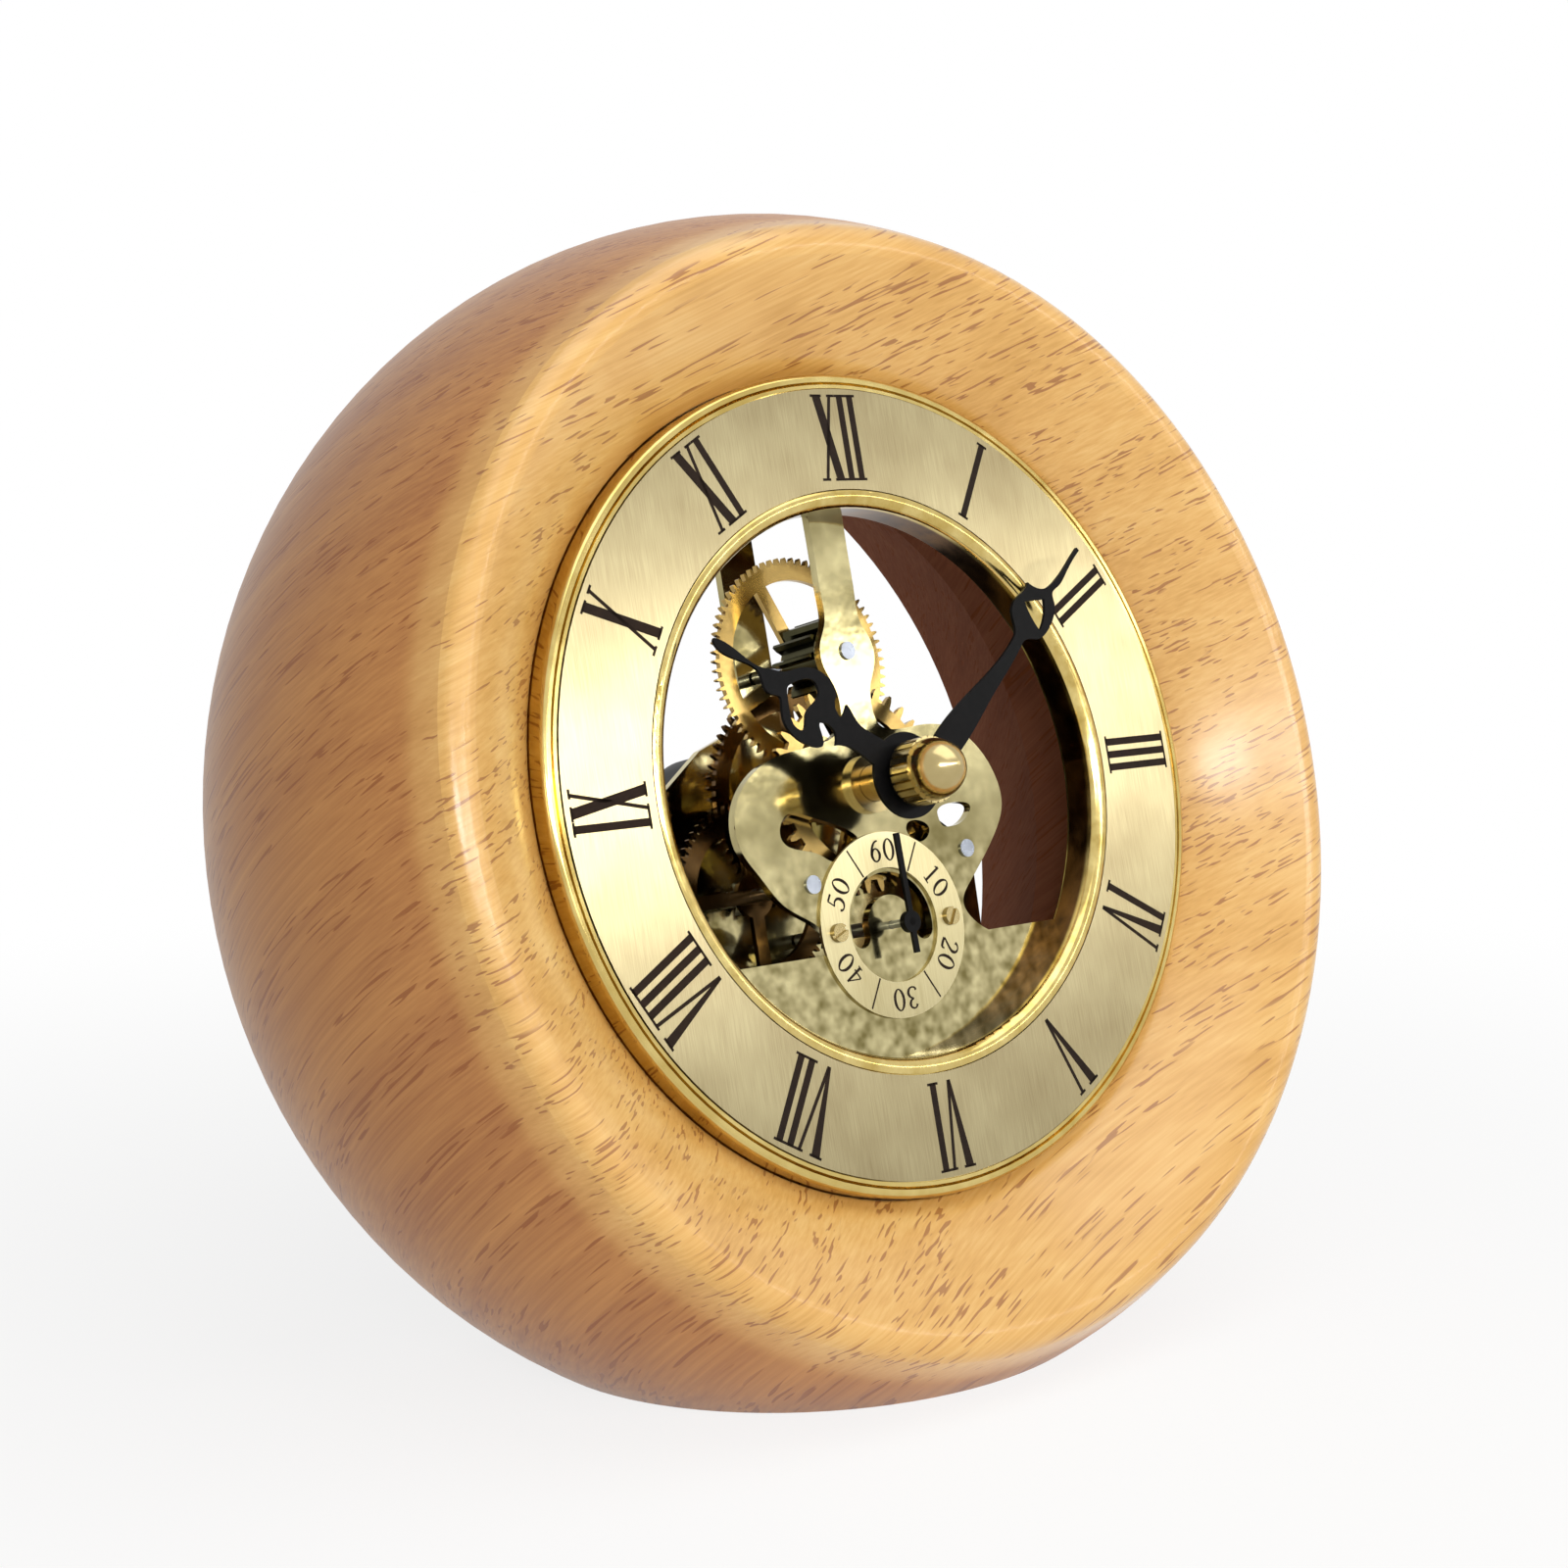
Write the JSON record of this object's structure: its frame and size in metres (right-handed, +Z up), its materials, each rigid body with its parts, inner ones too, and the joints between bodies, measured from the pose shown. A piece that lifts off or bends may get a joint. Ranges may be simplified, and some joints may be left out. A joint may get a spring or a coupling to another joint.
{
  "type": "desk clock",
  "caption": "Round turned wooden desk clock with a flat base, a gold Roman chapter ring in a dished front, an open brass gear train, a seconds dial and serpentine hands",
  "frame": {"origin": "middle of the flat that the case stands on", "axes": "+Z up, +X to the right of someone reading the dial, the dial faces -Y and leans back 14.6 degrees"},
  "size_m": [0.1546, 0.0924, 0.1424],
  "materials": {
    "beech": "turned beech, satin lacquer",
    "polished_brass": "polished brass",
    "brushed_gold": "brushed champagne gold with printed black figures",
    "bright_steel": "bright steel",
    "black_lacquer": "black lacquered metal",
    "black_rubber": "black rubber",
    "black_plastic": "black moulded plastic",
    "battery_jacket": "plain printed steel jacket"
  },
  "bodies": {
    "case": {"wood_case": "beech", "bezel_ring": "polished_brass", "retaining_band": "black_rubber", "chapter_ring": "brushed_gold", "inner_trim_ring": "polished_brass", "front_plate": "polished_brass", "back_plate": "polished_brass", "ring_posts": "polished_brass", "post_screws": "bright_steel", "plate_pillars": "bright_steel", "plate_rivets": "bright_steel", "centre_bush": "polished_brass", "seconds_dial": "brushed_gold", "seconds_dial_screws": "polished_brass", "drive_housing": "black_plastic", "housing_screws": "bright_steel", "battery": "battery_jacket", "battery_contacts": "bright_steel"},
    "minute_work": {"centre_arbor": "bright_steel", "centre_wheel": "polished_brass", "centre_pinion": "polished_brass", "minute_hand": "black_lacquer", "cap_nut": "polished_brass", "setting_knob": "black_plastic"},
    "motion_work": {"motion_arbor": "bright_steel", "motion_wheel": "polished_brass", "motion_pinion": "polished_brass"},
    "hour_work": {"hour_wheel": "polished_brass", "hour_hand": "black_lacquer"},
    "third_work": {"third_arbor": "bright_steel", "third_wheel": "polished_brass", "third_pinion": "polished_brass"},
    "seconds_work": {"seconds_arbor": "bright_steel", "seconds_pinion": "polished_brass", "seconds_hand": "black_lacquer"}
  },
  "joints": [
    {"name": "minute_turn", "type": "hinge", "parent": "case", "child": "minute_work", "pos_m": [0, -0.00755, 0.0725], "axis": [0, 0.9677, -0.2521], "continuous": true},
    {"name": "motion_turn", "type": "hinge", "parent": "case", "child": "motion_work", "pos_m": [0, -0.00325, 0.089], "axis": [0, 0.9677, -0.2521], "continuous": true},
    {"name": "hour_turn", "type": "hinge", "parent": "case", "child": "hour_work", "pos_m": [0, -0.00755, 0.0725], "axis": [0, 0.9677, -0.2521], "continuous": true},
    {"name": "third_turn", "type": "hinge", "parent": "case", "child": "third_work", "pos_m": [-0.0116, -0.01045, 0.06137], "axis": [0, 0.9677, -0.2521], "continuous": true},
    {"name": "seconds_turn", "type": "hinge", "parent": "case", "child": "seconds_work", "pos_m": [0, -0.01204, 0.05527], "axis": [0, 0.9677, -0.2521], "continuous": true}
  ],
  "couplings": [
    {"joint": "motion_turn", "follows": "minute_turn", "ratio": -0.25},
    {"joint": "hour_turn", "follows": "minute_turn", "ratio": 0.083333},
    {"joint": "third_turn", "follows": "minute_turn", "ratio": -8},
    {"joint": "seconds_turn", "follows": "minute_turn", "ratio": 60}
  ]
}
